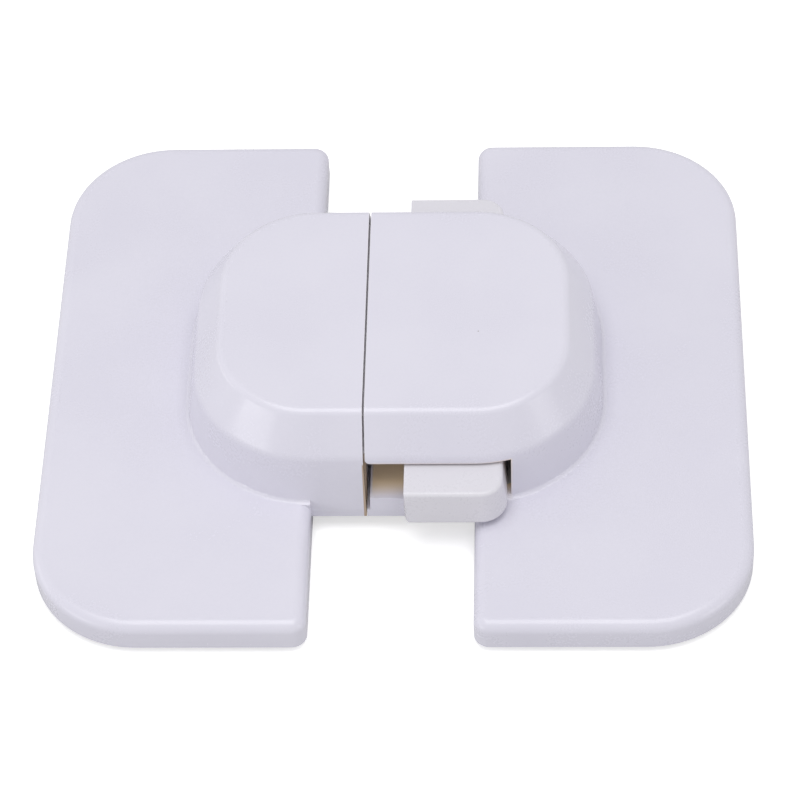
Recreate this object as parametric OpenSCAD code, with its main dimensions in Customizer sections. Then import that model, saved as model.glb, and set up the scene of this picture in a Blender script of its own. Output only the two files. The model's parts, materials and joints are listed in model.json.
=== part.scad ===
// Cabinet safety lock in two halves. A keeper half and a bolt half each stick to a door by a foam pad.
// Two slide bolts, worked by finger tabs at the front and the rear, cross the seam and tie the halves.
// X runs across the seam, Y from front to rear, and Z up from the faces that stick to the doors.

/* [Overall] */
// Length across both wings
overall_w = 85; // [78:0.5:110]
// Depth of the wings, front to rear
overall_d = 77.6; // [66:0.2:100]

/* [Wings] */
// Gap between the two wings
wing_gap = 19.4; // [15:0.1:22]
// Thickness of a wing, from its rim to its top face
wing_t = 3.8; // [3.4:0.1:5]
// Plan radius of a wing's outer corners
outer_corner_r = 12.8; // [6:0.1:15]
// Plan radius of a wing's inner corners
inner_corner_r = 1.8; // [1.6:0.1:4]
// Radius along a wing's top edges
edge_r = 1.4; // [0.5:0.1:1.5]

/* [Housing] */
// Length of the housing at its foot
housing_len = 51.6; // [50:0.1:56]
// Depth of the housing at its foot
housing_dep = 41.8; // [40:0.1:44]
// Height of the housing above the rim
housing_h = 15.4; // [14.6:0.1:18]
// Height of the crease in the side walls above the rim
crease_h = 10.5; // [10:0.1:11]
// Lean of the lower wall, from its foot to the crease
lower_lean = 1.7; // [0.8:0.1:2]
// Lean of the upper facet, from the crease to the top
upper_lean = 3.3; // [2:0.1:4]
// Plan radius of the housing's corners at its foot
housing_corner_r = 16; // [13:0.1:17]
// Radius of the housing's top edge
top_edge_r = 1.2; // [0.4:0.1:1.6]
// Radius along the crease
crease_r = 2.6; // [0.5:0.1:3]
// Fillet between the housing and a wing
foot_fillet_r = 0.6; // [0.4:0.1:1.5]
// How far the housing's underside between the wings lies above the rim
bridge_rise = 1.5; // [1:0.1:1.6]
// Distance of the seam from the middle, towards the keeper half
seam_offset = 3.225; // [2.5:0.025:4.5]
// Width of the seam
seam_gap = 0.25; // [0.2:0.05:0.6]
// How far the keeper half's face stands proud inside the seam
land_h = 0.15; // [0.05:0.05:0.15]

/* [Walls] */
// Thickness of the side walls
wall = 1.8; // [1.4:0.1:2]
// Thickness of the housing's roof
roof_t = 1.8; // [1.4:0.1:2.4]
// Thickness of the base plates
base_t = 1.6; // [1.3:0.1:2]
// Space between a base plate and the rim round it
base_clear = 0.15; // [0.05:0.05:0.3]
// Thickness of the ribs that hang from the roof
rib_t = 1.2; // [0.8:0.1:1.6]

/* [Slot] */
// Height of the slot that the tabs run in
slot_h = 5.4; // [5:0.1:5.6]
// Height of the sill under the slot above the wings' top faces
sill_rise = 0.5; // [0.3:0.1:0.6]
// How far the sill stands back from the seam
sill_back = 0.4; // [0.2:0.05:0.5]
// Height of the toe that closes the seam below the sill
toe_h = 1; // [0.6:0.1:1.4]
// Thickness of the apron between the sill and the bed
apron_t = 1.2; // [0.8:0.1:1.4]
// How far the apron reaches under a tab at rest
apron_reach = 1; // [0.5:0.1:1.2]
// How far the bolts' bed lies below the sill
bed_drop = 0.2; // [0.05:0.05:0.3]
// Radius of the canopy's lower corner at the seam
lip_r = 0.6; // [0.3:0.1:1]
// Space between the slot's closed end and the screw pillars
pillar_gap = 1.05; // [0.8:0.05:1.4]

/* [Bolts] */
// How far a tab stands out past the housing's foot
tab_reach = 3.4; // [2:0.1:5]
// Lean of a tab's outer and far faces
tab_lean = 0.6; // [0:0.1:1]
// Plan radius of a tab's corner at the closed end of the slot
tab_far_r = 3.2; // [2:0.1:3.8]
// Plan radius of a tab's corner at the seam
tab_near_r = 1; // [0.4:0.1:2]
// Radius along a tab's top and bottom edges
tab_edge_r = 0.5; // [0.2:0.1:0.8]
// Radius of a tab's lower corner at the seam
tab_corner_r = 1; // [0.5:0.1:1.5]
// Space between a tab and the closed end of the slot at rest
tab_gap = 0.4; // [0.3:0.05:0.8]
// Space between a tab and the seam when its bolt is shot
tab_stop = 0.4; // [0.2:0.05:1.4]
// Space under a bolt
sill_clear = 0.2; // [0.1:0.05:0.3]
// Space over a bolt
lip_clear = 0.35; // [0.2:0.05:0.5]
// Height of a bolt's tongue
tongue_h = 4.6; // [4:0.1:4.7]
// Distance of a tongue from the middle plane
tongue_inset = 5; // [4.6:0.1:5.5]
// Radius of the tongue's nose
nose_r = 1; // [0.3:0.1:1.5]
// How far the nose lies behind the seam at rest
nose_gap = 0.2; // [0.1:0.05:0.5]
// Travel of a bolt
travel = 4.2; // [3.4:0.1:4.3]

/* [Guides] */
// Width of the middle rib that both bolts slide along
guide_w = 9; // [7:0.1:9.2]
// Height of the middle rib above the bed
guide_h = 3.6; // [2:0.1:4]
// Space between the bolts and their guides
guide_clear = 0.25; // [0.15:0.05:0.4]
// Width of the rail in a bolt's groove
rail_w = 1.2; // [0.8:0.1:1.6]
// Height of the rail above the bed
rail_h = 1; // [0.7:0.1:1.3]
// Length of the rail
rail_len = 5; // [4:0.1:5.4]
// Distance of the rail from the tab's face at the seam, at rest
rail_start = 1.4; // [1.2:0.1:1.6]
// Distance of the rail from the housing's front or rear foot
rail_inset = 6.5; // [6:0.1:7]

/* [Detent] */
// Thickness of the detent leaf
leaf_t = 0.3; // [0.2:0.05:0.4]
// Width of the leaf
leaf_w = 4; // [3:0.1:5]
// Span of the leaf's bow
leaf_span = 7; // [6:0.1:8]
// Length of the flat foot at each end of the leaf
leaf_foot = 1.2; // [0.8:0.1:1.5]
// Distance of the leaf's crown from the bolt's face at the seam
crown_x = 4; // [3.6:0.1:4.4]
// How far the crown stands in the bolt's notch
crown_bite = 0.5; // [0.3:0.05:0.7]
// Space round the crown and round the leaf's feet
leaf_clear = 0.08; // [0.05:0.01:0.15]
// Floor left under the leaf
leaf_floor_t = 0.9; // [0.6:0.1:1.1]

/* [Strike] */
// Wall of the strike insert
strike_wall = 1.4; // [1:0.1:1.6]
// Space round a tongue in its pocket
strike_clear = 0.5; // [0.3:0.05:0.6]
// Space between the insert and the pieces that hold it
strike_seat = 0.1; // [0.05:0.05:0.2]
// Space between the insert's ends and the wall's inside at the crease
strike_margin = 2.5; // [2:0.1:3]
// How far a bolt window in the seam face stands back from the insert's pocket
window_relief = 0.9; // [0.6:0.1:1]
// Thickness of the fence round the insert
fence_t = 1.2; // [0.8:0.1:1.4]
// Height of the fence
fence_h = 1.5; // [0.8:0.1:3]

/* [Pads] */
// Thickness of the foam pads
pad_t = 1; // [0.8:0.1:2]
// Margin between a pad and the wing's edge
pad_margin = 3.4; // [2.5:0.1:5]
// Plan radius of a pad's inner corners
pad_corner_r = 2.5; // [1:0.1:4]

/* [Fasteners] */
// Diameter of the screws
screw_d = 2.2; // [1.8:0.1:2.4]
// Length of the screws with their heads
screw_len = 8; // [6:0.1:9]
// Diameter of the flat heads
head_d = 4.2; // [3.8:0.1:4.6]
// Height of the flat heads
head_h = 1.1; // [0.8:0.05:1.2]
// Space round a screw and its head
screw_clear = 0.05; // [0.03:0.01:0.1]
// Width of the arms of the cross recess
cross_w = 0.6; // [0.4:0.1:0.8]
// Depth of the cross recess
cross_h = 0.6; // [0.4:0.1:0.8]
// Diameter of the screw pillars
pillar_d = 5; // [4.4:0.1:5.4]
// Distance of the pillars from the housing's end
pillar_inset = 8.2; // [7.8:0.1:9]
// Spacing of a half's two pillars
pillar_pitch = 17; // [13:0.1:18]
// Width of a hook on a base plate's outer edge
hook_w = 8; // [5:0.5:10]
// Reach of a hook past the base plate's edge
hook_reach = 0.8; // [0.5:0.05:1]
// Thickness of a hook
hook_t = 0.8; // [0.6:0.1:1]
// Spacing of the hooks
hook_pitch = 20; // [15:0.5:22]

/* [Hidden] */
$fa = 2;
$fs = 0.3;

// How far a cut reaches past the face that it opens
past = 1;
// Reach of a clipping block past the whole part
far = overall_w + overall_d;

// Levels from the sticking faces up
z_rim = pad_t;
z_base = z_rim + base_t;
z_bridge = z_rim + bridge_rise;
z_wing = z_rim + wing_t;
z_sill = z_wing + sill_rise;
z_bed = z_sill - bed_drop;
z_lip = z_sill + slot_h;
z_crease = z_rim + crease_h;
z_top = z_rim + housing_h;
z_roof = z_top - roof_t;
z_bolt = z_sill + sill_clear;
z_bolt_top = z_lip - lip_clear;
z_tongue = (z_sill + z_lip - tongue_h) / 2;
z_pocket = z_tongue - strike_clear;
z_pocket_top = z_tongue + tongue_h + strike_clear;
z_strike = z_pocket - strike_wall;
z_strike_top = z_pocket_top + strike_wall;

// Ends of the wings and faces at the seam
wing_in = wing_gap / 2;
wing_out = overall_w / 2;
wing_y = overall_d / 2;
seam_left = -seam_offset - seam_gap / 2;
seam_right = -seam_offset + seam_gap / 2;

// Half sizes of the housing's foot
half_len = housing_len / 2;
half_dep = housing_dep / 2;

// Screw pillars and the closed end of the slot
pillar_x = half_len - pillar_inset;
slot_end = pillar_x - pillar_d / 2 - pillar_gap;

// Strike insert and its pockets across the depth
strike_y = half_dep - wall - lower_lean - strike_margin;
pocket_y0 = tongue_inset - strike_clear;
pocket_y1 = strike_y - strike_wall;

// Bolts, guides and detent
tab_x1 = slot_end - tab_gap;
tab_x0 = seam_right + tab_stop + travel;
tab_y = half_dep + tab_reach;
bolt_y0 = guide_w / 2 + guide_clear;
apron_x = tab_x0 + apron_reach;
nose_x = seam_right + nose_gap;
tongue_y1 = pocket_y1 - strike_clear;
apron_y = tongue_y1 + guide_clear;
bed_x0 = seam_right + wall + base_clear;
bed_lean = lower_lean * (z_bed - z_base) / (z_crease - z_base);
rail_x0 = tab_x0 + rail_start;
rail_y = half_dep - rail_inset;
leaf_y = (tongue_inset + tongue_y1) / 2;
crown = [tab_x0 + crown_x, z_bolt + crown_bite];
leaf_floor = z_bridge + leaf_floor_t;
leaf_rise = crown.y - leaf_floor;
leaf_r = (leaf_span ^ 2 / 4 + leaf_rise ^ 2) / (2 * leaf_rise);
leaf_half = leaf_span / 2 + leaf_foot;

// Strike insert along the bolts
strike_x1 = seam_left - wall - strike_seat;
pocket_x0 = nose_x - travel - strike_clear;
strike_x0 = pocket_x0 - strike_wall;

function unit(v) = v / norm(v);

// Offset of the lower wall from the foot of the housing at a height
function wall_at(z) = -lower_lean * (z - z_rim) / crease_h;

// Tangent points, arc centre, radius and turn of one corner of an outline
function corner_of(before, at, after, r) =
    let (a = unit(before - at), b = unit(after - at), half = acos(a * b) / 2, t = r / tan(half))
    [r > 0 ? [at + a * t, at + b * t] : [at], at + unit(a + b) * r / sin(half), r,
        cross(at - before, after - at)];

// Outline whose corners are true arcs; its points run anticlockwise, and a radius of 0 stays sharp
module rounded(points, radii) {
    n = len(points);
    corners = [for (i = [0:n - 1])
        corner_of(points[(i + n - 1) % n], points[i], points[(i + 1) % n], radii[i])];
    difference() {
        union() {
            polygon([for (c = corners) each c[0]]);
            for (c = corners) if (c[2] > 0 && c[3] > 0) translate(c[1]) circle(c[2]);
        }
        for (c = corners) if (c[2] > 0 && c[3] < 0) translate(c[1]) circle(c[2]);
    }
}

// Box between two opposite corners
module block(lo, hi) {
    translate(lo) cube(hi - lo);
}

// Flat outline raised between two levels
module rise(z0, z1) {
    translate([0, 0, z0]) linear_extrude(z1 - z0) children();
}

// Outline in Y and Z drawn out along X
module along_x(x0, x1) {
    translate([x0, 0, 0]) rotate([90, 0, 90]) linear_extrude(x1 - x0) children();
}

// Outline in X and Z drawn out along Y
module along_y(y0, y1) {
    translate([0, y1, 0]) rotate([90, 0, 0]) linear_extrude(y1 - y0) children();
}

module keep_left(x) {
    intersection() {
        children();
        block([-far, -far, -far], [x, far, far]);
    }
}

module keep_right(x) {
    intersection() {
        children();
        block([x, -far, -far], [far, far, far]);
    }
}

module keep_right_flat(x) {
    intersection() {
        children();
        translate([x, -far]) square([far, 2 * far]);
    }
}

module mirror_x() {
    mirror([1, 0, 0]) children();
}

module both_y() {
    children();
    mirror([0, 1, 0]) children();
}

// Domed block with round corners. The first child is its section from a corner's axis outwards,
// and the last one that of its straight sides at the front and the rear
module dome(half_x, half_y, r, z0, z1) {
    x = half_x - r;
    y = half_y - r;
    block([-x, -y, z0], [x, y, z1]);
    both_y() along_x(-x, x) translate([y, 0]) children($children - 1);
    for (flip = [0, 1]) mirror([flip, 0, 0]) {
        along_y(-y, y) translate([x, 0]) children(0);
        both_y() translate([x, y]) rotate_extrude(angle = 90) children(0);
    }
}

// Plan of the housing's foot, drawn in by an inset
module foot_plan(inset) {
    x = half_len - inset;
    y = half_dep - inset;
    r = housing_corner_r - inset;
    rounded([[-x, -y], [x, -y], [x, y], [-x, y]], [r, r, r, r]);
}

// Section of the housing's wall, from a corner's axis outwards
module wall_section() {
    r = housing_corner_r;
    top_lean = lower_lean + upper_lean;
    rounded([[0, z_bridge], [r + wall_at(z_bridge), z_bridge], [r - lower_lean, z_crease],
        [r - top_lean, z_top], [0, z_top]],
        [0, 0, crease_r, top_edge_r, 0]);
}

// Section of the soft blend between the wall's foot and a wing
module blend_section() {
    axis_z = z_wing + foot_fillet_r;
    axis_x = housing_corner_r + wall_at(axis_z) + foot_fillet_r;
    x0 = housing_corner_r - lower_lean - wall;
    difference() {
        translate([x0, z_bridge]) square([axis_x - x0, z_wing + 0.85 * foot_fillet_r - z_bridge]);
        translate([axis_x, axis_z]) circle(foot_fillet_r);
    }
}

// Solid housing of both halves, before the seam parts them
module housing() {
    dome(half_len, half_dep, housing_corner_r, z_bridge, z_top) {
        union() {
            wall_section();
            blend_section();
        }
        wall_section();
    }
}

// Hollow inside the housing, open at the rim
module cavity() {
    top_lean = lower_lean + upper_lean * (z_roof - z_crease) / (z_top - z_crease);
    r = housing_corner_r - wall;
    dome(half_len - wall, half_dep - wall, r, z_rim - past, z_roof)
        polygon([[0, z_rim - past], [r, z_rim - past], [r, z_base], [r - lower_lean, z_crease],
            [r - top_lean, z_roof], [0, z_roof]]);
}

// Plan of a right wing or of a plate under it
module wing_plan(inset, inner_r) {
    x0 = wing_in + inset;
    x1 = wing_out - inset;
    y1 = wing_y - inset;
    r = outer_corner_r - inset;
    rounded([[x0, -y1], [x1, -y1], [x1, y1], [x0, y1]], [inner_r, r, r, inner_r]);
}

// Rim section of a wing, with its rounded top edge
module edge_section(w) {
    intersection() {
        rounded([[0, z_rim], [w, z_rim], [w, z_wing], [0, z_wing]], [0, 0, edge_r, 0]);
        translate([0, z_rim]) square([w, wing_t]);
    }
}

// Right wing, solid, with rounded top edges all round
module wing() {
    x0 = wing_in + inner_corner_r;
    x1 = wing_out - outer_corner_r;
    along_x(x0, x1) rounded([[-wing_y, z_rim], [wing_y, z_rim], [wing_y, z_wing], [-wing_y, z_wing]],
        [0, 0, edge_r, edge_r]);
    along_y(outer_corner_r - wing_y, wing_y - outer_corner_r) translate([x1, 0])
        edge_section(outer_corner_r);
    along_y(inner_corner_r - wing_y, wing_y - inner_corner_r) translate([x0, 0]) mirror([1, 0])
        edge_section(inner_corner_r);
    both_y() {
        translate([x1, wing_y - outer_corner_r]) rotate_extrude(angle = 90) edge_section(outer_corner_r);
        translate([x0, wing_y - inner_corner_r]) rotate(90) rotate_extrude(angle = 90)
            edge_section(inner_corner_r);
    }
}

// Recess under a right wing for its base plate, with slots for the plate's hooks
module wing_recess() {
    rise(z_rim - past, z_base) wing_plan(wall, 0);
    for (i = [-1:1]) block([wing_out - wall - past, i * hook_pitch - hook_w / 2 - base_clear,
            z_base - hook_t - base_clear],
        [wing_out - wall + hook_reach, i * hook_pitch + hook_w / 2 + base_clear, z_base]);
}

// Right base plate's wing part, with the hooks on its outer edge
module wing_base() {
    rise(z_rim, z_base) wing_plan(wall + base_clear, 0);
    edge_x = wing_out - wall - base_clear;
    for (i = [-1:1]) block([edge_x - past, i * hook_pitch - hook_w / 2, z_base - hook_t],
        [edge_x + hook_reach, i * hook_pitch + hook_w / 2, z_base]);
}

// Places of a half's two screws, on the right
module at_screws() {
    for (side = [-1, 1]) translate([pillar_x, side * pillar_pitch / 2, 0]) children();
}

// Screw pillars under the right half's roof
module pillars() {
    at_screws() difference() {
        rise(z_base, z_roof + roof_t / 2) circle(d = pillar_d);
        rise(z_base - past, z_rim + screw_len + past / 2) circle(d = screw_d + 2 * screw_clear);
    }
}

// Countersunk holes in the right base plate
module screw_holes() {
    gap = 2 * screw_clear;
    at_screws() {
        rise(z_rim - past, z_base + past) circle(d = screw_d + gap);
        translate([0, 0, z_rim]) cylinder(h = head_h, d1 = head_d + gap, d2 = screw_d + gap);
    }
}

// Countersunk screws of the right half, heads flush with the base plate
module screws() {
    at_screws() difference() {
        union() {
            translate([0, 0, z_rim]) cylinder(h = head_h, d1 = head_d, d2 = screw_d);
            rise(z_rim + head_h - cross_h / 2, z_rim + screw_len) circle(d = screw_d);
        }
        for (turn = [0, 90]) rotate(turn) block([-screw_d / 2, -cross_w / 2, z_rim - past],
            [screw_d / 2, cross_w / 2, z_rim + cross_h]);
    }
}

// Adhesive foam pad of the right half
module pad() {
    rise(0, pad_t) wing_plan(pad_margin, pad_corner_r);
}

// Space of the strike's two pockets, from a depth out to a face, widened all round by a relief
module pockets(x0, x1, relief) {
    both_y() block([x0, pocket_y0 - relief, z_pocket - relief],
        [x1, pocket_y1 + relief, z_pocket_top + relief]);
}

// Keeper half's moulded shell: wing, closed half of the housing, and bolt windows in its seam face
module left_shell() color("gainsboro") {
    difference() {
        union() {
            mirror_x() wing();
            keep_left(seam_left) housing();
            intersection() {
                cavity();
                block([seam_left - wall / 2, -far, z_bridge + wall / 2], [seam_left + land_h, far, far]);
            }
        }
        keep_left(seam_left - wall) cavity();
        mirror_x() wing_recess();
        pockets(seam_left - wall - past, seam_left + past, window_relief);
    }
    mirror_x() pillars();
    both_y() block([strike_x0, leaf_y - rib_t / 2, z_strike_top + strike_seat],
        [seam_left - wall / 2, leaf_y + rib_t / 2, z_roof + roof_t / 2]);
}

// Space under the housing between the wings
module under_bridge() {
    block([-wing_in, -far, -far], [wing_in, far, z_bridge]);
}

// Keeper half's base plate, with the seat and fence of the strike insert
module left_base() color("lightgray") {
    fence_y = strike_y + strike_seat + fence_t;
    fence_x = min(strike_x0 - strike_seat, -wing_in) - fence_t;
    difference() {
        union() {
            mirror_x() wing_base();
            mirror_x() rise(z_rim, z_base) keep_right_flat(wall + base_clear - seam_left)
                foot_plan(wall + base_clear);
            block([fence_x, -fence_y, z_base - base_t / 2],
                [strike_x1 - base_clear, fence_y, z_strike + fence_h]);
        }
        block([strike_x0 - strike_seat, -strike_y - strike_seat, z_strike],
            [far, strike_y + strike_seat, far]);
        under_bridge();
        mirror_x() screw_holes();
    }
}

module left_base_screws() color("silver") mirror_x() screws();

module left_pad() color("dimgray") mirror_x() pad();

// Box with the two pockets that the bolts shoot into
module strike_insert() color("whitesmoke") difference() {
    block([strike_x0, -strike_y, z_strike], [strike_x1, strike_y, z_strike_top]);
    pockets(pocket_x0, strike_x1 + past, 0);
    block([pocket_x0, strike_wall - pocket_y0, z_strike + strike_wall],
        [strike_x1 + past, pocket_y0 - strike_wall, z_strike_top + past]);
}

// Outline of the bolt half from the front: the sill, the slot open at the seam, and the canopy
module canopy_outline() {
    x0 = seam_right + sill_back;
    z_toe = z_bridge + toe_h;
    rounded([[seam_right, 0], [far, 0], [far, far], [seam_right, far], [seam_right, z_lip],
        [slot_end, z_lip], [slot_end, z_sill], [x0, z_sill], [x0, z_toe], [seam_right, z_toe]],
        [0, 0, 0, 0, lip_r, 0, 0, 0, 0, 0]);
}

// Bolt half's moulded shell: wing, canopy over the slot, and the slot open at front, seam and rear
module right_shell() color("gainsboro") {
    difference() {
        union() {
            wing();
            intersection() {
                housing();
                along_y(-far, far) canopy_outline();
            }
        }
        keep_right(seam_right + wall) cavity();
        wing_recess();
    }
    pillars();
    both_y() {
        block([seam_right + wall / 2, leaf_y - rib_t / 2, z_lip],
            [slot_end, leaf_y + rib_t / 2, z_roof + roof_t / 2]);
        block([seam_right + wall / 2, apron_y, z_sill - apron_t], [apron_x, half_dep - wall, z_sill]);
    }
}

// Bolt half's base plate, with the bed, guide rib and rails that the bolts run on
module right_base() color("lightgray") difference() {
    union() {
        wing_base();
        rise(z_rim, z_base) keep_right_flat(bed_x0) foot_plan(wall + base_clear);
        rise(z_base - base_t / 2, z_bed) intersection() {
            foot_plan(wall + base_clear + bed_lean);
            translate([bed_x0, -far]) square([slot_end - bed_x0, 2 * far]);
        }
        block([bed_x0, -guide_w / 2, z_bed - past], [slot_end, guide_w / 2, z_bed + guide_h]);
        both_y() block([rail_x0, rail_y - rail_w / 2, z_bed - past],
            [rail_x0 + rail_len, rail_y + rail_w / 2, z_bed + rail_h]);
    }
    under_bridge();
    screw_holes();
    both_y() {
        block([crown.x - leaf_half - leaf_clear, leaf_y - leaf_w / 2 - leaf_clear, leaf_floor],
            [crown.x + leaf_half + leaf_clear, leaf_y + leaf_w / 2 + leaf_clear, far]);
        block([-far, apron_y - base_clear, z_sill - apron_t - base_clear],
            [apron_x + base_clear, far, far]);
    }
}

module right_base_screws() color("silver") screws();

module right_pad() color("dimgray") pad();

// Section of a tab, from the axis of its far corner outwards
module tab_section() {
    rounded([[0, z_bolt], [tab_far_r, z_bolt], [tab_far_r - tab_lean, z_bolt_top], [0, z_bolt_top]],
        [0, tab_edge_r, tab_edge_r, 0]);
}

// Finger tab and carriage of the rear bolt, drafted at its outer and far faces
module tab() {
    x = tab_x1 - tab_far_r;
    y = tab_y - tab_far_r;
    intersection() {
        union() {
            block([tab_x0, bolt_y0, z_bolt], [x, y, z_bolt_top]);
            along_x(tab_x0, x) translate([y, 0]) tab_section();
            along_y(bolt_y0, y) translate([x, 0]) tab_section();
            translate([x, y]) rotate_extrude(angle = 90) tab_section();
        }
        along_y(-far, far)
            rounded([[tab_x0, z_bolt], [far, z_bolt], [far, far], [tab_x0, far]], [tab_corner_r, 0, 0, 0]);
        rise(0, far) rounded([[tab_x0, 0], [far, 0], [far, tab_y], [tab_x0, tab_y]], [0, 0, 0, tab_near_r]);
    }
}

// Tongue of the rear bolt, with a rounded nose
module tongue() {
    x1 = tab_x0 + past;
    z1 = z_tongue + tongue_h;
    intersection() {
        rise(z_tongue, z1)
            rounded([[nose_x, tongue_inset], [x1, tongue_inset], [x1, tongue_y1], [nose_x, tongue_y1]],
                [nose_r, 0, 0, nose_r]);
        along_y(tongue_inset, tongue_y1)
            rounded([[nose_x, z_tongue], [x1, z_tongue], [x1, z1], [nose_x, z1]], [nose_r, 0, 0, nose_r]);
    }
}

// Rear bolt in one moulding, with the groove for its rail and the two notches of the detent
module bolt() {
    groove = rail_w / 2 + guide_clear;
    notch = leaf_w / 2 + guide_clear;
    difference() {
        union() {
            tab();
            tongue();
        }
        block([rail_x0 - guide_clear, rail_y - groove, z_bolt - past],
            [rail_x0 + rail_len + travel + guide_clear, rail_y + groove, z_bed + rail_h + guide_clear]);
        for (step = [0, travel]) along_y(leaf_y - notch, leaf_y + notch)
            translate([crown.x + step, crown.y - leaf_r]) circle(leaf_r + leaf_clear);
    }
}

module front_bolt() color("whitesmoke") mirror([0, 1, 0]) bolt();

module rear_bolt() color("whitesmoke") bolt();

// Rear detent leaf: a bowed spring strip whose crown sits in a notch of the bolt
module detent_spring() {
    along_y(leaf_y - leaf_w / 2, leaf_y + leaf_w / 2) translate([crown.x, leaf_floor]) difference() {
        union() {
            intersection() {
                translate([0, leaf_rise - leaf_r]) circle(leaf_r);
                translate([-leaf_half, 0]) square([2 * leaf_half, leaf_rise + past]);
            }
            translate([-leaf_half, 0]) square([2 * leaf_half, leaf_t]);
        }
        translate([0, leaf_rise - leaf_r]) circle(leaf_r - leaf_t);
    }
}

module front_detent_spring() color("silver") mirror([0, 1, 0]) detent_spring();

module rear_detent_spring() color("silver") detent_spring();

left_shell();
left_base();
left_base_screws();
left_pad();
strike_insert();
right_shell();
right_base();
right_base_screws();
right_pad();
front_bolt();
rear_bolt();
front_detent_spring();
rear_detent_spring();
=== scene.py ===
"""Studio scene of a two-part cabinet safety lock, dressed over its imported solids.

Every moulding is a copy of its solid with softened edges, the foam pads are modelled as taped foam,
and the steel parts keep their solids. All sizes are in metres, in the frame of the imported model.
"""
import json
import logging
import math
from collections.abc import Callable
from dataclasses import dataclass
from enum import Enum
from functools import reduce

import bpy
from mathutils import Matrix, Vector

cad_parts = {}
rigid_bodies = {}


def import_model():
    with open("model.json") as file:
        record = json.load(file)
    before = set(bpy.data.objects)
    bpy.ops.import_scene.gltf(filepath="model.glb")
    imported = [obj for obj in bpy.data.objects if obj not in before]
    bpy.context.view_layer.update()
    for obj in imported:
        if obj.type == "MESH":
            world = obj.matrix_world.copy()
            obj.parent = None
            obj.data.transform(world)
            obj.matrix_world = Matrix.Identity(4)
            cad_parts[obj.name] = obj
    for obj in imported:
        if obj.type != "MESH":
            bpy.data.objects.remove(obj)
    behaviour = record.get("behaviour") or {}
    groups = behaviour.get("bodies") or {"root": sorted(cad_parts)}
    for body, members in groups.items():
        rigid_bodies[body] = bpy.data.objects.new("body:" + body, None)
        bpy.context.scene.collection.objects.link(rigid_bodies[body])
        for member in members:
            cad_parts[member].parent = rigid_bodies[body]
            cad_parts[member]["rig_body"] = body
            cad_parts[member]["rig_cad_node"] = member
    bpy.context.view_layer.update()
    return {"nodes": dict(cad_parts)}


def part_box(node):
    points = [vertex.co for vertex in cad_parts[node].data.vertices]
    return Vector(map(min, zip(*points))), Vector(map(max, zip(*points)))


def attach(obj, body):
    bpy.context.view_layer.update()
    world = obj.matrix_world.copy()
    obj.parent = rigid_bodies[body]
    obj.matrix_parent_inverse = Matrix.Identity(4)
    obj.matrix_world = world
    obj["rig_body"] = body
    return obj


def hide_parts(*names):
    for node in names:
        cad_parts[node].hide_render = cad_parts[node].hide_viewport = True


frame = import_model()
LOG = logging.getLogger("cabinet_lock")
MM = 0.001
SHARP_ANGLE = math.radians(36)

Colour = tuple[float, float, float]
Edge = tuple[float, float]


class Half(Enum):
    """The two halves of the lock, by the body that carries each."""

    KEEPER = "keeper_half"
    BOLT = "bolt_half"


class Slot(Enum):
    """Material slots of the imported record."""

    SHELL = "shell_white"
    BASE = "base_white"
    BOLT = "bolt_white"
    PAD = "pad_foam"
    SCREW = "screw_steel"
    SPRING = "spring_steel"


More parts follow.
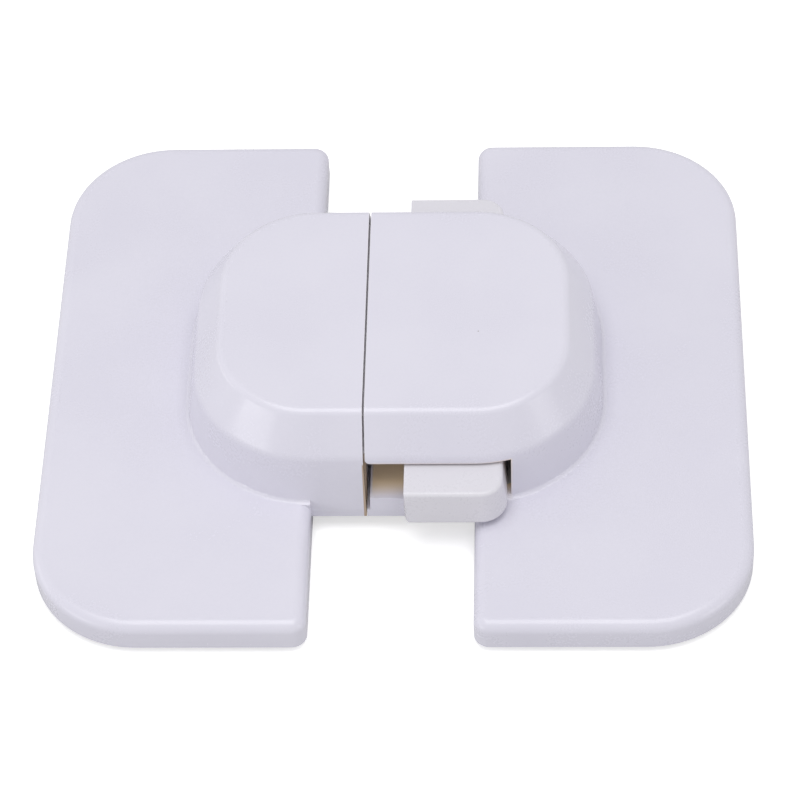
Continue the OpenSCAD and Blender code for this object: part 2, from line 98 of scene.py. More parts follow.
@dataclass
class Wiring:
    """Adds nodes to one node tree and joins their sockets.

    Attributes:
        tree: the tree of a material, a world or a node group.
    """

    tree: bpy.types.NodeTree

    def add(self, kind: str, **inputs: object) -> bpy.types.Node:
        """Add a node and set or join its inputs.

        Args:
            kind: the node's type name.
            **inputs: values or output sockets by input name, with _ for a space.

        Returns:
            The new node.
        """
        node = self.tree.nodes.new(kind)
        for name, value in inputs.items():
            socket = node.inputs[name.replace("_", " ")]
            if isinstance(value, bpy.types.NodeSocket):
                self.tree.links.new(value, socket)
            else:
                socket.default_value = value
        return node

    def math(self, operation: str, a: object, b: object) -> bpy.types.NodeSocket:
        """Add a Math node with two inputs.

        Args:
            operation: what the node does.
            a: the first value or output socket.
            b: the second value or output socket.

        Returns:
            The node's result.
        """
        node = self.tree.nodes.new("ShaderNodeMath")
        node.operation = operation
        for socket, value in zip(node.inputs, (a, b)):
            if isinstance(value, bpy.types.NodeSocket):
                self.tree.links.new(value, socket)
            else:
                socket.default_value = value
        return node.outputs[0]

    def span(self, value: bpy.types.NodeSocket, low: tuple[float, float],
             high: tuple[float, float]) -> bpy.types.NodeSocket:
        """Map a value smoothly, held at both ends.

        Args:
            value: the socket to map.
            low: the value that starts the span, and what it becomes.
            high: the value that ends the span, and what it becomes.

        Returns:
            The mapped socket.
        """
        node = self.add("ShaderNodeMapRange", Value=value, From_Min=low[0], To_Min=low[1],
                        From_Max=high[0], To_Max=high[1])
        node.interpolation_type = "SMOOTHSTEP"
        return node.outputs[0]

    def rise(self, value: bpy.types.NodeSocket, edge: Edge) -> bpy.types.NodeSocket:
        """Return 0 below an edge and 1 above it, soft between the edge's two levels."""
        return self.span(value, (edge[0], 0.0), (edge[1], 1.0))

    def fall(self, value: bpy.types.NodeSocket, edge: Edge) -> bpy.types.NodeSocket:
        """Return 1 below an edge and 0 above it, soft between the edge's two levels."""
        return self.span(value, (edge[0], 1.0), (edge[1], 0.0))

    def product(self, *masks: bpy.types.NodeSocket) -> bpy.types.NodeSocket:
        """Return the product of several masks."""
        return reduce(lambda a, b: self.math("MULTIPLY", a, b), masks)

    def blend(self, a: bpy.types.NodeSocket, b: bpy.types.NodeSocket, share: float) -> bpy.types.NodeSocket:
        """Return a mix of two values that takes the given share of the second."""
        return self.math("ADD", self.math("MULTIPLY", a, 1.0 - share), self.math("MULTIPLY", b, share))

    def mix(self, mask: bpy.types.NodeSocket, a: object, b: object) -> bpy.types.NodeSocket:
        """Mix two colours by a mask.

        Args:
            mask: the socket of the mask.
            a: the colour or colour socket where the mask is 0.
            b: the colour or colour socket where the mask is 1.

        Returns:
            The socket of the mixed colour.
        """
        node = self.tree.nodes.new("ShaderNodeMix")
        node.data_type = "RGBA"
        sockets = {s.identifier: s for s in node.inputs}
        self.tree.links.new(mask, sockets["Factor_Float"])
        for name, value in (("A_Color", a), ("B_Color", b)):
            if isinstance(value, bpy.types.NodeSocket):
                self.tree.links.new(value, sockets[name])
            else:
                sockets[name].default_value = (*value, 1.0)
        return next(s for s in node.outputs if s.identifier == "Result_Color")

    def noise(self, vector: bpy.types.NodeSocket, feature: float, detail: float) -> bpy.types.NodeSocket:
        """Return noise whose features are about the given size in metres."""
        return self.add("ShaderNodeTexNoise", Vector=vector, Scale=1.0 / feature, Detail=detail).outputs[0]


def new_group(name: str, outputs: dict[str, str]) -> tuple[bpy.types.NodeTree, Wiring, bpy.types.NodeSocket]:
    """Make a shader node group that reads a Vector.

    Args:
        name: the group's name.
        outputs: socket types by output name.

    Returns:
        The group, its wiring and the socket of its Vector input.
    """
    group = bpy.data.node_groups.new(name, "ShaderNodeTree")
    group.interface.new_socket("Vector", in_out="INPUT", socket_type="NodeSocketVector")
    for output, kind in outputs.items():
        group.interface.new_socket(output, in_out="OUTPUT", socket_type=kind)
    wiring = Wiring(group)
    return group, wiring, wiring.add("NodeGroupInput").outputs["Vector"]


class SurfaceGroups:
    """The effects that several finishes share, each built once.

    An edge is a pair of levels between which a mask fades. Depths are measured from the lock's middle to the
    front or the rear, and heights from the pads' sticking faces.
    """

    VALUE = "NodeSocketFloat"

    WAVE_SIZE = 9 * MM
    GRAIN_SIZE = 0.35 * MM
    GRAIN_HEIGHT = 0.03
    GRAIN_SHARE = 0.25
    CLOUD_SIZE = 14 * MM
    DUST_SPACING = 5.5 * MM
    DUST_EDGE = (0.016, 0.03)
    CLEAN_SHARE = 0.8

    # Edges of the painted light and shade in the slots: shade painted inside them (SLOT_*), seam faces
    # painted lighter (SEAM_*) and dark shade painted at their ends (END_*).
    SLOT_MOUTH = (17.4 * MM, 20.3 * MM)
    SLOT_BACK = (13.0 * MM, 14.0 * MM)
    SLOT_SEAM_SIDE = (-2.66 * MM, -2.3 * MM)
    SLOT_FAR_SIDE = (14.0 * MM, 14.3 * MM)
    SLOT_ROOF = (10.65 * MM, 10.95 * MM)
    SEAM_MIDDLE = -3.225 * MM
    SEAM_EDGE = (0.13 * MM, 0.19 * MM)
    END_EDGE = (0.2 * MM, 0.3 * MM)
    END_KEEPER_SIDE = (-3.11 * MM, -3.105 * MM)
    END_ROOF = (10.3 * MM, 10.8 * MM)
    END_BACK = (15.5 * MM, 18.0 * MM)

    LINE_SIZE = 0.12 * MM
    LINE_STRETCH = 0.05
    STEEL_CLOUD_SIZE = 1.5 * MM
    STEEL_CLOUD_SHARE = 0.4
    CELL_SIZE = 0.22 * MM
    FOAM_CLOUD_SIZE = 2.5 * MM

    def __init__(self) -> None:
        """Build the groups."""
        self.mould_skin = self._mould_skin()
        self.inner_faces = self._inner_faces()
        self.rolled_steel = self._rolled_steel()
        self.closed_cells = self._closed_cells()

    def _mould_skin(self) -> bpy.types.NodeTree:
        """Build the skin of a moulding: slow waves, fine grain, cloudy tone and stray dust specks.

        Returns:
            The node group.
        """
        group, wiring, vector = new_group(
            "mould_skin", {"Height": self.VALUE, "Tone": self.VALUE, "Dust": self.VALUE})
        waves = wiring.noise(vector, self.WAVE_SIZE, 1.0)
        grain = wiring.noise(vector, self.GRAIN_SIZE, 2.0)
        cloud = wiring.noise(vector, self.CLOUD_SIZE, 3.0)
        tone = wiring.blend(cloud, grain, self.GRAIN_SHARE)
        cells = wiring.add("ShaderNodeTexVoronoi", Vector=vector, Scale=1.0 / self.DUST_SPACING)
        chance = wiring.add("ShaderNodeSeparateColor", Color=cells.outputs["Color"])
        near = wiring.fall(cells.outputs["Distance"], self.DUST_EDGE)
        rare = wiring.math("GREATER_THAN", chance.outputs[0], self.CLEAN_SHARE)
        height = wiring.math("ADD", wiring.math("MULTIPLY", grain, self.GRAIN_HEIGHT), waves)
        wiring.add("NodeGroupOutput", Height=height, Tone=tone, Dust=wiring.product(near, rare))
        return group

    def _inner_faces(self) -> bpy.types.NodeTree:
        """Build the masks of painted light and shade: warm shade in the slots, where light comes through the
        walls, seam faces painted lighter and dark shade at the slots' ends.

        Returns:
            The node group.
        """
        group, wiring, vector = new_group(
            "inner_faces", {"Inside": self.VALUE, "Seam": self.VALUE, "Slot End": self.VALUE})
        axes = wiring.add("ShaderNodeSeparateXYZ", Vector=vector)
        across, height = axes.outputs["X"], axes.outputs["Z"]
        depth = wiring.math("ABSOLUTE", axes.outputs["Y"], 0.0)
        gap = wiring.math("ABSOLUTE", wiring.math("SUBTRACT", across, self.SEAM_MIDDLE), 0.0)
        # Painted warm shade on the slot faces behind the mouths, below the roof.
        slot = wiring.product(
            wiring.fall(depth, self.SLOT_MOUTH), wiring.rise(depth, self.SLOT_BACK),
            wiring.rise(across, self.SLOT_SEAM_SIDE), wiring.fall(across, self.SLOT_FAR_SIDE),
            wiring.fall(height, self.SLOT_ROOF))
        # Painted dark shade on the keeper's seam face where the slots' ends show it.
        end = wiring.product(
            wiring.fall(gap, self.END_EDGE), wiring.fall(across, self.END_KEEPER_SIDE),
            wiring.fall(height, self.END_ROOF), wiring.rise(depth, self.END_BACK))
        # The Seam mask marks the seam faces, which are painted lighter to lighten the shaded seam line.
        wiring.add("NodeGroupOutput", Inside=slot, Seam=wiring.fall(gap, self.SEAM_EDGE), Slot_End=end)
        return group

    def _rolled_steel(self) -> bpy.types.NodeTree:
        """Build the drawn lines of strip and wire, along X.

        Returns:
            The node group.
        """
        group, wiring, vector = new_group("rolled_steel", {"Height": self.VALUE, "Tone": self.VALUE})
        drawn = wiring.add("ShaderNodeMapping", Vector=vector, Scale=(self.LINE_STRETCH, 1.0, 1.0))
        lines = wiring.noise(drawn.outputs[0], self.LINE_SIZE, 2.0)
        cloud = wiring.noise(vector, self.STEEL_CLOUD_SIZE, 2.0)
        tone = wiring.blend(lines, cloud, self.STEEL_CLOUD_SHARE)
        wiring.add("NodeGroupOutput", Height=lines, Tone=tone)
        return group

    def _closed_cells(self) -> bpy.types.NodeTree:
        """Build the cut cells of closed-cell foam.

        Returns:
            The node group.
        """
        group, wiring, vector = new_group("closed_cells", {"Height": self.VALUE, "Tone": self.VALUE})
        cells = wiring.add("ShaderNodeTexVoronoi", Vector=vector, Scale=1.0 / self.CELL_SIZE)
        tone = wiring.noise(vector, self.FOAM_CLOUD_SIZE, 3.0)
        wiring.add("NodeGroupOutput", Height=cells.outputs["Distance"], Tone=tone)
        return group


@dataclass(frozen=True)
class Finish:
    """A surface finish: a Principled shader whose colour, roughness and relief vary over the piece.

    Attributes:
        name: the material's name.
        pale: the lighter of its two tones.
        deep: the darker of its two tones.
        smooth: its lowest roughness.
        rough: its highest roughness.
        relief: depth of its bump in metres.
    """

    name: str
    pale: Colour
    deep: Colour
    smooth: float
    rough: float
    relief: float

    TONE_EDGE = (0.3, 0.7)

    def start(self, group: bpy.types.NodeTree) -> tuple[Wiring, bpy.types.Node, bpy.types.Node]:
        """Make the material with its shader and shared effect.

        Args:
            group: the node group of the effect.

        Returns:
            The material's wiring, its shader and its group node.
        """
        material = bpy.data.materials.new(self.name)
        material.use_nodes = True
        material.node_tree.nodes.clear()
        wiring = Wiring(material.node_tree)
        place = wiring.add("ShaderNodeTexCoord")
        effect = wiring.add("ShaderNodeGroup")
        effect.node_tree = group
        wiring.tree.links.new(place.outputs["Object"], effect.inputs["Vector"])
        shader = wiring.add("ShaderNodeBsdfPrincipled")
        bump = wiring.add("ShaderNodeBump", Height=effect.outputs["Height"], Distance=self.relief)
        low, high = self.TONE_EDGE
        rough = wiring.span(effect.outputs["Tone"], (low, self.smooth), (high, self.rough))
        wiring.tree.links.new(bump.outputs[0], shader.inputs["Normal"])
        wiring.tree.links.new(rough, shader.inputs["Roughness"])
        wiring.add("ShaderNodeOutputMaterial", Surface=shader.outputs[0])
        return wiring, shader, effect

    def tone(self, wiring: Wiring, effect: bpy.types.Node) -> bpy.types.NodeSocket:
        """Return the cloudy mix of the finish's two tones."""
        return wiring.mix(wiring.rise(effect.outputs["Tone"], self.TONE_EDGE), self.pale, self.deep)

    def material(self, groups: SurfaceGroups) -> bpy.types.Material:
        """Build the material."""
        raise NotImplementedError


@dataclass(frozen=True)
class MouldedPlastic(Finish):
    """Moulded plastic with a faint waviness and a little dust.

    Attributes:
        dust: colour of the dust specks.
        ior: index of refraction, which sets how much it shines.
    """

    dust: Colour = (0.32, 0.29, 0.27)
    ior: float = 1.52

    def skin(self, wiring: Wiring, effect: bpy.types.Node, groups: SurfaceGroups) -> bpy.types.NodeSocket:
        """Return the plastic's colour without its dust."""
        return self.tone(wiring, effect)

    def material(self, groups: SurfaceGroups) -> bpy.types.Material:
        """Build the material.

        Args:
            groups: the shared effects.

        Returns:
            The material.
        """
        wiring, shader, effect = self.start(groups.mould_skin)
        colour = wiring.mix(effect.outputs["Dust"], self.skin(wiring, effect, groups), self.dust)
        wiring.tree.links.new(colour, shader.inputs["Base Color"])
        shader.inputs["IOR"].default_value = self.ior
        return bpy.data.materials[self.name]


@dataclass(frozen=True)
class ShellPlastic(MouldedPlastic):
    """The shells' plastic, with painted light and shade: warm shade painted inside the slots, seam faces
    painted lighter and dark shade painted at the slots' ends.

    Attributes:
        inside: warm shade painted on the faces inside the slots, where light comes through the walls.
        seam: lighter tone painted on the faces that meet at the seam, which lightens the shaded seam line.
        slot_end_painted_shade: dark shade painted on the keeper's seam face where a slot opens it to view.
    """

    inside: Colour = (0.96, 0.77, 0.53)
    seam: Colour = (0.84, 0.82, 0.86)
    slot_end_painted_shade: Colour = (0.46, 0.35, 0.26)

    def skin(self, wiring: Wiring, effect: bpy.types.Node, groups: SurfaceGroups) -> bpy.types.NodeSocket:
        """Paint the shade and light: warm shade inside the slots, lighter seam faces and dark shade at the
        slots' ends.

        Args:
            wiring: the material's wiring.
            effect: its group node of the moulded skin.
            groups: the shared effects.

        Returns:
            The plastic's colour without its dust.
        """
        inner = wiring.add("ShaderNodeGroup")
        inner.node_tree = groups.inner_faces
        place = wiring.add("ShaderNodeTexCoord").outputs["Object"]
        wiring.tree.links.new(place, inner.inputs["Vector"])
        # Painted light and shade: warm shade inside the slots, lighter seam faces, then dark shade at the
        # slots' ends.
        warm = wiring.mix(inner.outputs["Inside"], self.tone(wiring, effect), self.inside)
        seam = wiring.mix(inner.outputs["Seam"], warm, self.seam)
        return wiring.mix(inner.outputs["Slot End"], seam, self.slot_end_painted_shade)


@dataclass(frozen=True)
class Steel(Finish):
    """Plated or rolled steel."""

    def material(self, groups: SurfaceGroups) -> bpy.types.Material:
        """Build the material.

        Args:
            groups: the shared effects.

        Returns:
            The material.
        """
        wiring, shader, effect = self.start(groups.rolled_steel)
        wiring.tree.links.new(self.tone(wiring, effect), shader.inputs["Base Color"])
        shader.inputs["Metallic"].default_value = 1.0
        return bpy.data.materials[self.name]


@dataclass(frozen=True)
class Foam(Finish):
    """Closed-cell foam tape.

    Attributes:
        shine: how much its surface reflects, 0.5 for plain plastic.
    """

    shine: float = 0.2

    def material(self, groups: SurfaceGroups) -> bpy.types.Material:
        """Build the material.

        Args:
            groups: the shared effects.

        Returns:
            The material.
        """
        wiring, shader, effect = self.start(groups.closed_cells)
        wiring.tree.links.new(self.tone(wiring, effect), shader.inputs["Base Color"])
        shader.inputs["Specular IOR Level"].default_value = self.shine
        return bpy.data.materials[self.name]


FINISHES: dict[Slot, Finish] = {
    Slot.SHELL: ShellPlastic("white_gloss_plastic", (0.735, 0.72, 0.81), (0.705, 0.69, 0.785),
                             0.2, 0.3, 0.012 * MM),
    Slot.BASE: MouldedPlastic("white_satin_plastic", (0.78, 0.75, 0.72), (0.74, 0.71, 0.68),
                              0.42, 0.55, 0.02 * MM),
    Slot.BOLT: MouldedPlastic("white_bolt_plastic", (0.745, 0.73, 0.785), (0.715, 0.70, 0.755),
                              0.22, 0.32, 0.012 * MM),
    Slot.PAD: Foam("white_foam_tape", (0.74, 0.74, 0.72), (0.66, 0.66, 0.64), 0.85, 0.95, 0.05 * MM),
    Slot.SCREW: Steel("zinc_plated_steel", (0.66, 0.67, 0.68), (0.5, 0.51, 0.53), 0.28, 0.42, 0.004 * MM),
    Slot.SPRING: Steel("spring_strip_steel", (0.6, 0.6, 0.61), (0.46, 0.46, 0.47), 0.22, 0.34, 0.004 * MM),
}


def select_only(piece: bpy.types.Object) -> None:
    """Make one object the active and only selected one.

    Args:
        piece: the object.
    """
    bpy.ops.object.select_all(action="DESELECT")
    piece.select_set(True)
    bpy.context.view_layer.objects.active = piece


def pick_vertices(piece: bpy.types.Object, wanted: Callable[[Vector], bool]) -> None:
    """Select only the vertices of a piece that lie where they are wanted.

    Args:
        piece: the object, in object mode.
        wanted: says of a vertex's place whether it is wanted.
    """
    select_only(piece)
    bpy.ops.object.mode_set(mode="EDIT")
    bpy.ops.mesh.select_mode(type="VERT")
    bpy.ops.mesh.select_all(action="DESELECT")
    bpy.ops.object.mode_set(mode="OBJECT")
    for vertex in piece.data.vertices:
        vertex.select = wanted(vertex.co)


def apply_modifier(piece: bpy.types.Object, kind: str, **settings: object) -> None:
    """Add a modifier with the given settings to a piece and apply it.

    Args:
        piece: the object to change.
        kind: the modifier's type.
        **settings: its properties.
    """
    select_only(piece)
    modifier = piece.modifiers.new(kind.lower(), kind)
    for name, value in settings.items():
        setattr(modifier, name, value)
    bpy.ops.object.modifier_apply(modifier=modifier.name)


def smooth_shading(piece: bpy.types.Object) -> None:
    """Shade a piece smooth, with its flat faces kept flat and its sharp edges sharp.

    Args:
        piece: the object to shade.
    """
    select_only(piece)
    bpy.ops.object.shade_smooth_by_angle(angle=SHARP_ANGLE)
    apply_modifier(piece, "WEIGHTED_NORMAL", mode="FACE_AREA", weight=60, keep_sharp=True)


def finish_piece(piece: bpy.types.Object, slot: Slot, body: str, nodes: list[str],
                 materials: dict[Slot, bpy.types.Material]) -> None:
    """Give a new piece its material and its body, and hide the nodes that it stands for.

    Args:
        piece: the finished object.
        slot: its material slot in the record.
        body: the body that it rides on.
        nodes: the nodes that it replaces.
        materials: the scene's materials.
    """
    piece.data.materials.clear()
    piece.data.materials.append(materials[slot])
    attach(piece, body)
    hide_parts(*nodes)
    LOG.info("%s rides on %s with %d faces", piece.name, body, len(piece.data.polygons))


@dataclass(frozen=True)
class SeamShift:
    """Part of a seam face that is brought closer to the other half, so that the seam shows no light.

    Attributes:
        level: where that part lies across the seam.
        limit: height below which it lies.
        move: how far it goes.
    """

    level: float
    limit: float
    move: float


@dataclass
class Moulding:
    """A plastic moulding: its solid with the sharp edges softened as a mould leaves them.

    Attributes:
        name: the piece's name.
        node: the node that it stands for.
        body: the body that it rides on.
        slot: its material slot.
        edge_radius: radius of the softened edges.
        seam_shifts: the parts of its seam face that are brought closer to the other half.
    """

    name: str
    node: str
    body: str
    slot: Slot
    edge_radius: float = 0.22 * MM
    seam_shifts: tuple[SeamShift, ...] = ()

    MERGE_GAP = 0.004 * MM
    FLAT_ANGLE = math.radians(0.4)
    SEAM_SLACK = 0.01 * MM
    EDGE_STEPS = 3

    def copy_solid(self) -> bpy.types.Object:
        """Copy the node's solid and merge its loose triangles into flat faces.

        Returns:
            The free copy.
        """
        select_only(frame["nodes"][self.node])
        bpy.ops.object.duplicate()
        piece = bpy.context.active_object
        piece.name = piece.data.name = self.name
        piece.parent = None
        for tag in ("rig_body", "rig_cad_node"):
            del piece[tag]
        bpy.ops.mesh.customdata_custom_splitnormals_clear()
        bpy.ops.object.mode_set(mode="EDIT")
        bpy.ops.mesh.select_all(action="SELECT")
        bpy.ops.mesh.remove_doubles(threshold=self.MERGE_GAP)
        bpy.ops.mesh.dissolve_limited(angle_limit=self.FLAT_ANGLE)
        bpy.ops.object.mode_set(mode="OBJECT")
        return piece

    def shift_seam(self, piece: bpy.types.Object, shift: SeamShift) -> None:
        """Move part of a piece's seam face towards the other half.

        Args:
            piece: the moulding.
            shift: the part and its move.
        """
        pick_vertices(piece, lambda place: (abs(place.x - shift.level) < self.SEAM_SLACK
                                            and place.z < shift.limit))
        bpy.ops.object.mode_set(mode="EDIT")
        bpy.ops.transform.translate(value=(shift.move, 0.0, 0.0))
        bpy.ops.object.mode_set(mode="OBJECT")

    def build(self) -> bpy.types.Object:
        """Copy the solid and soften its edges.

        Returns:
            The finished moulding.
        """
        piece = self.copy_solid()
        for shift in self.seam_shifts:
            self.shift_seam(piece, shift)
        apply_modifier(piece, "BEVEL", limit_method="ANGLE", angle_limit=SHARP_ANGLE,
                       width=self.edge_radius, segments=self.EDGE_STEPS, use_clamp_overlap=True)
        smooth_shading(piece)
        return piece

    def dress(self, materials: dict[Slot, bpy.types.Material]) -> None:
        """Build the moulding and fit it to its body."""
        finish_piece(self.build(), self.slot, self.body, [self.node], materials)


@dataclass
class FoamPad:
    """An adhesive foam pad: a foam core between two thin films, pulled in a little at its cut sides.

    Attributes:
        name: the piece's name.
        node: the node that it stands for.
        half: the half that it sticks to a door.
        film: thickness of each film.
        core_inset: how far the core's middle is pulled in.
        outer_radius: radius of the corners at the lock's ends.
        outer_steps: number of straight steps in each of them.
        inner_radius: radius of the corners at the gap.
        inner_steps: number of straight steps in each of them.
    """

    name: str
    node: str
    half: Half
    film: float = 0.12 * MM
    core_inset: float = 0.1 * MM
    outer_radius: float = 9.4 * MM
    outer_steps: int = 14
    inner_radius: float = 2.5 * MM
    inner_steps: int = 7

    CORNER_SLACK = 0.0001 * MM

    def at_corner(self, place: Vector, low: Vector, high: Vector) -> bool:
        """Return whether a place lies at a sharp corner of the pad's box."""
        return all(min(abs(place[axis] - low[axis]), abs(place[axis] - high[axis])) < self.CORNER_SLACK
                   for axis in (0, 1))

    def outline(self, low: Vector, high: Vector) -> bpy.types.Object:
        """Return the pad's flat lower face with round corners.

        Args:
            low: lowest corner of the pad's box.
            high: highest corner of the pad's box.

        Returns:
            A flat mesh at the pad's lower level.
        """
        bpy.ops.object.select_all(action="DESELECT")
        middle = (low + high) / 2
        bpy.ops.mesh.primitive_plane_add(size=1.0, location=(middle.x, middle.y, low.z))
        piece = bpy.context.active_object
        piece.name = piece.data.name = self.name
        piece.scale = (high.x - low.x, high.y - low.y, 1.0)
        bpy.ops.object.transform_apply(location=True, rotation=True, scale=True)
        outer = max if self.half is Half.BOLT else min
        end = outer(low.x, high.x)
        corners = ((True, self.outer_radius, self.outer_steps), (False, self.inner_radius, self.inner_steps))
        for at_end, radius, steps in corners:
            pick_vertices(piece, lambda place: (self.at_corner(place, low, high)
                                                and (abs(place.x - end) < MM) == at_end))
            bpy.ops.object.mode_set(mode="EDIT")
            bpy.ops.mesh.bevel(offset=radius, segments=steps, affect="VERTICES")
            bpy.ops.object.mode_set(mode="OBJECT")
        return piece

    def build(self) -> bpy.types.Object:
        """Raise the pad layer by layer from its lower face.

        Returns:
            The finished pad.
        """
        low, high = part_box(self.node)
        piece = self.outline(low, high)
        core = high.z - low.z - 2 * self.film
        middle = (low + high) / 2
        wide = 1.0 / (1.0 - 2 * self.core_inset / (high.x - low.x))
        long = 1.0 / (1.0 - 2 * self.core_inset / (high.y - low.y))
        layers = ((self.film, 0.0), (core / 4, -1.0), (core / 2, 0.0), (core / 4, 1.0), (self.film, 0.0))
        bpy.ops.object.mode_set(mode="EDIT")
        bpy.ops.mesh.select_all(action="SELECT")
        for rise, growth in layers:
            bpy.ops.mesh.extrude_region_move(TRANSFORM_OT_translate={"value": (0.0, 0.0, rise)})
            if growth:
                bpy.ops.transform.resize(value=(wide ** growth, long ** growth, 1.0),
                                         center_override=(middle.x, middle.y, 0.0))
        bpy.ops.mesh.select_all(action="SELECT")
        bpy.ops.mesh.normals_make_consistent(inside=False)
        bpy.ops.object.mode_set(mode="OBJECT")
        smooth_shading(piece)
        return piece

    def dress(self, materials: dict[Slot, bpy.types.Material]) -> None:
        """Build the pad and fit it under its half.

        Args:
            materials: the scene's materials by slot.
        """
        piece = self.build()
        finish_piece(piece, Slot.PAD, self.half.value, [self.node], materials)


@dataclass
class SteelParts:
    """The screws and detent leaves, which keep their solids.

    Attributes:
        slots: material slot of each node.
    """

    slots: dict[str, Slot]

    def dress(self, materials: dict[Slot, bpy.types.Material]) -> None:
        """Give each steel node its material.

        Args:
            materials: the scene's materials by slot.
        """
        for node, slot in self.slots.items():
            solid = frame["nodes"][node]
            solid.data.materials.clear()
            solid.data.materials.append(materials[slot])
            LOG.info("%s keeps its solid", node)


@dataclass(frozen=True)
class Softbox:
    """A rectangular studio light that faces the lock.

    Attributes:
        name: the light's name.
        azimuth: direction from the lock in degrees, 0 at the front and 90 at the right.
        elevation: height above the table in degrees.
        distance: distance from the lock.
        size: width and height of the panel.
        radiance: brightness of the panel.
    """

    name: str
    azimuth: float
    elevation: float
    distance: float
    size: tuple[float, float]
    radiance: float

    def place(self) -> None:
        """Add the light."""
        back = direction(self.azimuth, self.elevation)
        light = bpy.data.lights.new(self.name, "AREA")
        light.shape = "RECTANGLE"
        light.size, light.size_y = self.size
        light.energy = self.radiance * math.pi * self.size[0] * self.size[1]
        lamp = bpy.data.objects.new(self.name, light)
        lamp.location = back * self.distance
        lamp.rotation_euler = back.to_track_quat("Z", "Y").to_euler()
        bpy.context.scene.collection.objects.link(lamp)


def direction(azimuth: float, elevation: float) -> Vector:
    """Return the unit vector towards a place round the lock, with both angles in degrees."""
    turn, lift = math.radians(azimuth), math.radians(elevation)
    return Vector((math.sin(turn) * math.cos(lift), -math.cos(turn) * math.cos(lift), math.sin(lift)))


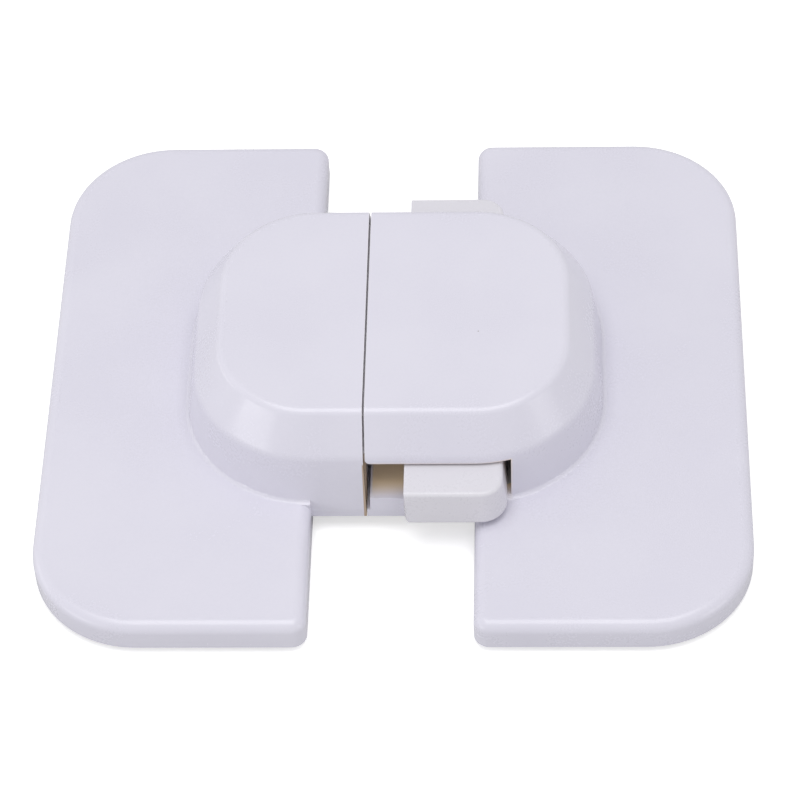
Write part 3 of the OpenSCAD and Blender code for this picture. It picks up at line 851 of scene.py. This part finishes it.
@dataclass
class Studio:
    """The table, the lights and the camera.

    Attributes:
        azimuth: the camera's direction from the lock, in degrees.
        elevation: its height above the table, in degrees.
        roll: its turn about its own axis, in degrees.
        distance: its distance from the target.
        target: the point that it looks at.
        lens: its focal length in millimetres.
        sensor: width of its sensor in millimetres.
        nearest: the nearest distance that it sees.
        sky: brightness of the white surroundings.
        table: width of the table.
        table_drop: how far it lies below the pads.
        table_white: how light the table looks to the camera.
        table_bounce: how light it is to the lock above it.
        table_glow: light that the table adds for the camera, as a lit sweep does.
        lights: the softboxes.
    """

    azimuth: float = 3.575
    elevation: float = 50.0
    roll: float = -2.996
    distance: float = 418.3 * MM
    target: Vector = Vector((0.303, -1.401, 1.0)) * MM
    lens: float = 153.07
    sensor: float = 36.0
    nearest: float = 10 * MM
    sky: float = 0.6
    table: float = 6.0
    table_drop: float = 0.03 * MM
    table_white: float = 0.9
    table_bounce: float = 0.72
    table_glow: float = 0.5
    lights: tuple[Softbox, ...] = (
        Softbox("overhead_panel", 0, 84, 0.7, (0.55, 0.5), 2.58),
        Softbox("left_panel", -54, 9.5, 0.8, (0.46, 0.2), 2.7),
        Softbox("side_panel", -100, 12, 0.8, (0.4, 0.2), 1.5),
        Softbox("right_panel", 65, 9, 0.8, (0.3, 0.18), 2.0),
    )

    def camera(self) -> None:
        """Add the camera at the viewing angle of the photograph."""
        back = direction(self.azimuth, self.elevation)
        right = Vector((0.0, 0.0, 1.0)).cross(back).normalized()
        up = back.cross(right)
        turn = math.radians(self.roll)
        right, up = (right * math.cos(turn) + up * math.sin(turn),
                     up * math.cos(turn) - right * math.sin(turn))
        data = bpy.data.cameras.new("camera")
        data.lens = self.lens
        data.sensor_width = self.sensor
        data.clip_start = self.nearest
        camera = bpy.data.objects.new("camera", data)
        pose = Matrix((right, up, back)).transposed().to_4x4()
        pose.translation = self.target + back * self.distance
        camera.matrix_world = pose
        bpy.context.scene.collection.objects.link(camera)
        bpy.context.scene.camera = camera

    def surroundings(self) -> None:
        """Make the white surroundings and the pale table."""
        world = bpy.data.worlds.new("white_tent")
        world.use_nodes = True
        backdrop = world.node_tree.nodes["Background"]
        backdrop.inputs["Color"].default_value = (1.0, 1.0, 1.0, 1.0)
        backdrop.inputs["Strength"].default_value = self.sky
        bpy.context.scene.world = world
        bpy.ops.object.select_all(action="DESELECT")
        bpy.ops.mesh.primitive_plane_add(size=self.table, location=(0.0, 0.0, -self.table_drop))
        table = bpy.context.active_object
        table.name = "table"
        table.data.materials.append(self.table_material())

    def table_material(self) -> bpy.types.Material:
        """Make the table's material, which looks whiter to the camera than to the lock.

        Returns:
            The material.
        """
        material = bpy.data.materials.new("lit_table")
        material.use_nodes = True
        shader = material.node_tree.nodes["Principled BSDF"]
        wiring = Wiring(material.node_tree)
        seen = wiring.add("ShaderNodeLightPath").outputs["Is Camera Ray"]
        tone = wiring.mix(seen, (self.table_bounce,) * 3, (self.table_white,) * 3)
        wiring.tree.links.new(tone, shader.inputs["Base Color"])
        glow = wiring.math("MULTIPLY", seen, self.table_glow)
        wiring.tree.links.new(glow, shader.inputs["Emission Strength"])
        shader.inputs["Roughness"].default_value = 0.9
        shader.inputs["Specular IOR Level"].default_value = 0.0
        shader.inputs["Emission Color"].default_value = (1.0, 1.0, 1.0, 1.0)
        return material

    def set_up(self) -> None:
        """Build the whole studio."""
        self.surroundings()
        for light in self.lights:
            light.place()
        self.camera()
        bpy.context.scene.view_settings.view_transform = "Standard"


def make_lock(materials: dict[Slot, bpy.types.Material]) -> None:
    """Build and dress every piece of the lock.

    Args:
        materials: the scene's materials by slot.
    """
    keeper, bolt = Half.KEEPER.value, Half.BOLT.value
    keeper_seam = (SeamShift(level=-3.2 * MM, limit=20 * MM, move=0.085 * MM),
                   SeamShift(level=-3.35 * MM, limit=2.6 * MM, move=0.2 * MM))
    mouldings = (
        Moulding("left_shell_moulding", "left_shell", keeper, Slot.SHELL, seam_shifts=keeper_seam),
        Moulding("right_shell_moulding", "right_shell", bolt, Slot.SHELL),
        Moulding("left_base_plate", "left_base", keeper, Slot.BASE, 0.15 * MM),
        Moulding("right_base_plate", "right_base", bolt, Slot.BASE, 0.15 * MM),
        Moulding("strike_box", "strike_insert", keeper, Slot.BOLT, 0.15 * MM),
        Moulding("front_slide_bolt", "front_bolt", "front_bolt", Slot.BOLT, 0.35 * MM),
        Moulding("rear_slide_bolt", "rear_bolt", "rear_bolt", Slot.BOLT, 0.35 * MM),
    )
    for moulding in mouldings:
        moulding.dress(materials)
    FoamPad("left_foam_pad", "left_pad", Half.KEEPER).dress(materials)
    FoamPad("right_foam_pad", "right_pad", Half.BOLT).dress(materials)
    SteelParts({
        "left_base_screws": Slot.SCREW,
        "right_base_screws": Slot.SCREW,
        "front_detent_spring": Slot.SPRING,
        "rear_detent_spring": Slot.SPRING,
    }).dress(materials)


def main() -> None:
    """Build the scene in order: studio, finishes and pieces."""
    logging.basicConfig(level=logging.INFO, format="%(name)s: %(message)s")
    Studio().set_up()
    groups = SurfaceGroups()
    materials = {slot: finish.material(groups) for slot, finish in FINISHES.items()}
    make_lock(materials)


if __name__ == "__main__":
    main()
